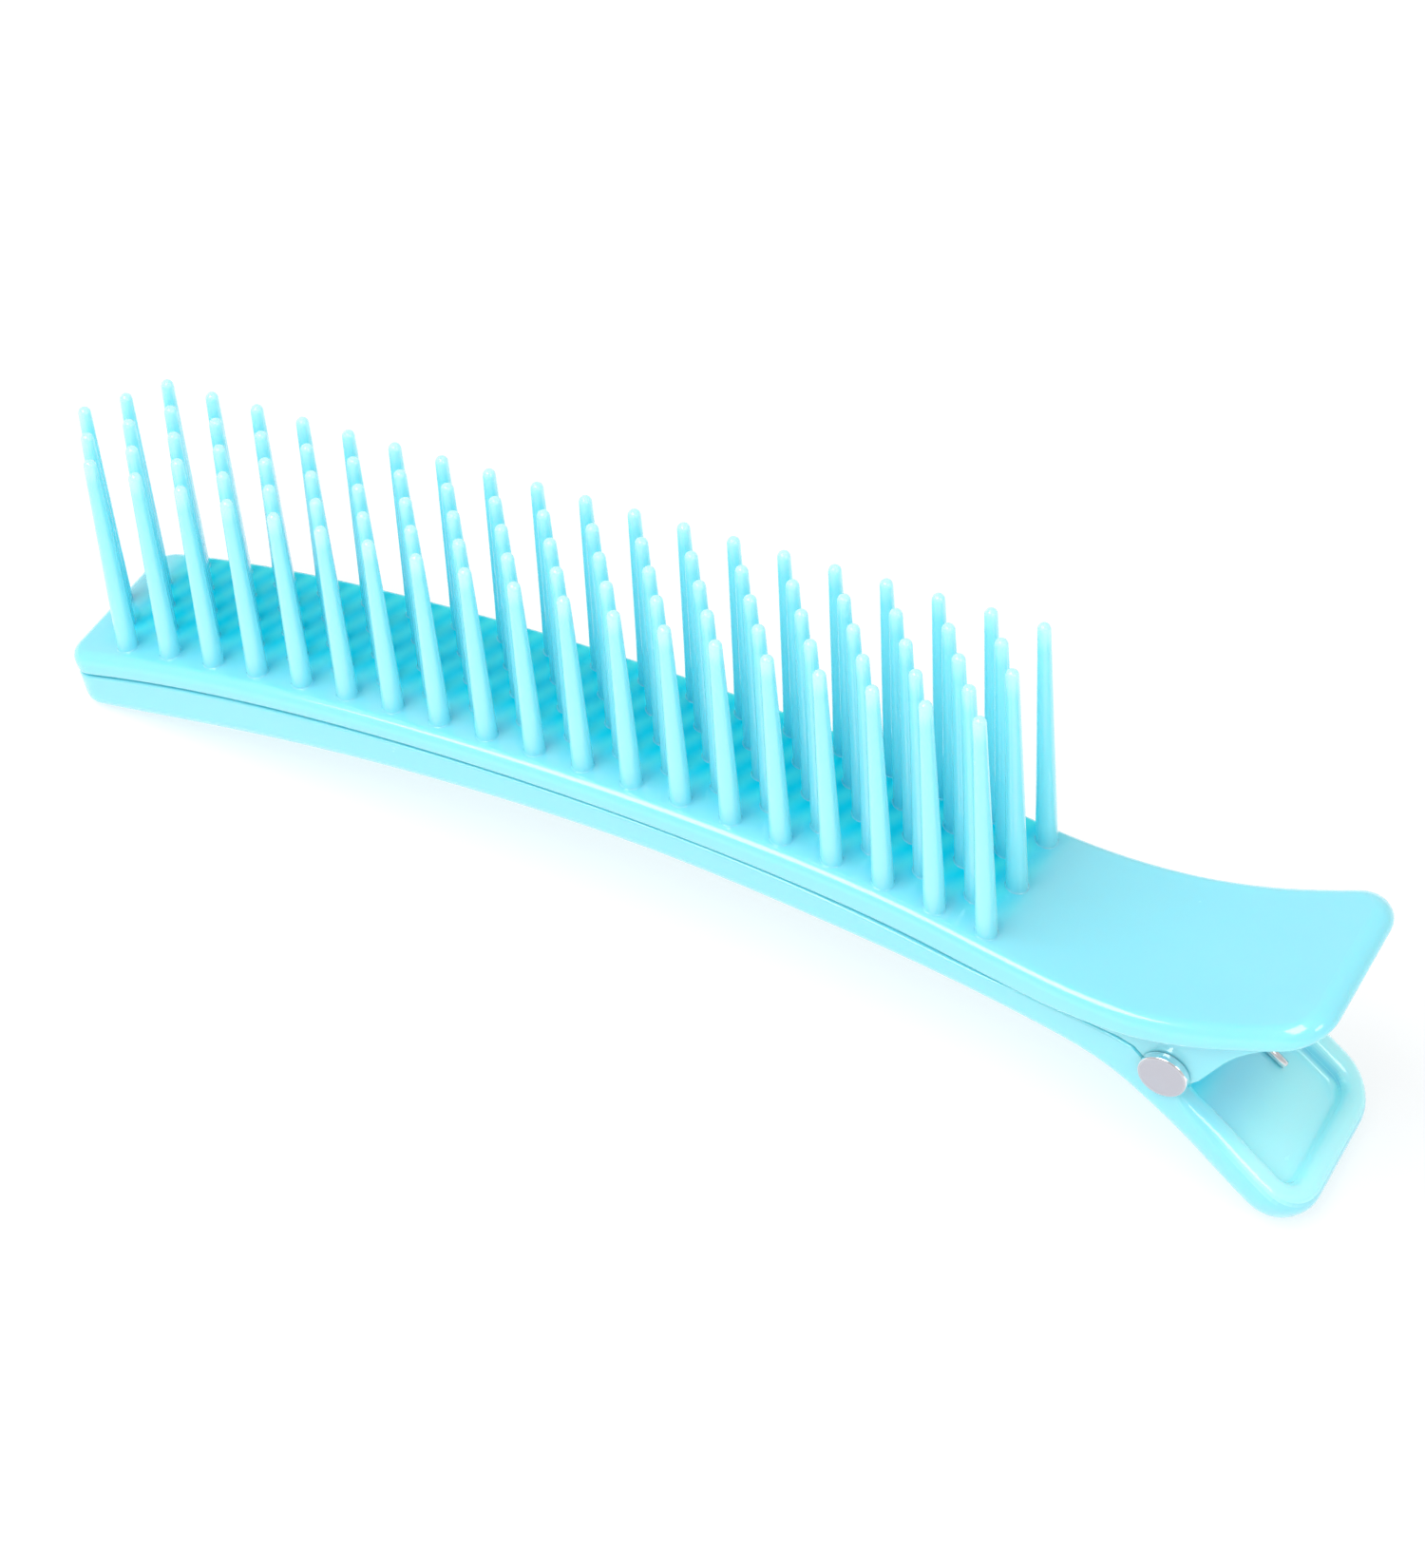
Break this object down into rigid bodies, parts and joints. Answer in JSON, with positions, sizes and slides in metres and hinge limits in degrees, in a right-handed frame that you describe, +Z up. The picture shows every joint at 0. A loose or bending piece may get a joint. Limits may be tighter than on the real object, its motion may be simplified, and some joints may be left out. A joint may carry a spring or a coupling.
{
  "type": "comb sectioning clip",
  "caption": "Salon sectioning clip with rows of comb teeth on its upper jaw, opened by squeezing two levers against a spring at its riveted pivot.",
  "frame": {"origin": "middle of the base of the clip's box, on the surface that the closed clip lies on", "axes": "+X from the jaw tip towards the levers, +Y across the clip, away from the rivet's head, +Z up towards the comb's tips"},
  "size_m": [0.1252, 0.019, 0.0419],
  "materials": {
    "aqua_plastic": "glossy, slightly translucent moulded plastic",
    "rivet_metal": "bright plated, smooth",
    "spring_steel": "drawn spring wire"
  },
  "bodies": {
    "lower_jaw": {"lower_arm": "aqua_plastic", "torsion_spring": "spring_steel"},
    "comb_jaw": {"comb_arm": "aqua_plastic", "pivot_rivet": "rivet_metal", "rivet_cap": "rivet_metal"}
  },
  "joints": [
    {"name": "jaw_hinge", "type": "hinge", "parent": "lower_jaw", "child": "comb_jaw", "pos_m": [0.04824, 0, 0.0132], "axis": [0, 1, 0], "range_deg": [0, 40], "stiffness_Nm_per_rad": 0.1, "springref_deg": -45.84, "deforming": ["torsion_spring"]}
  ]
}
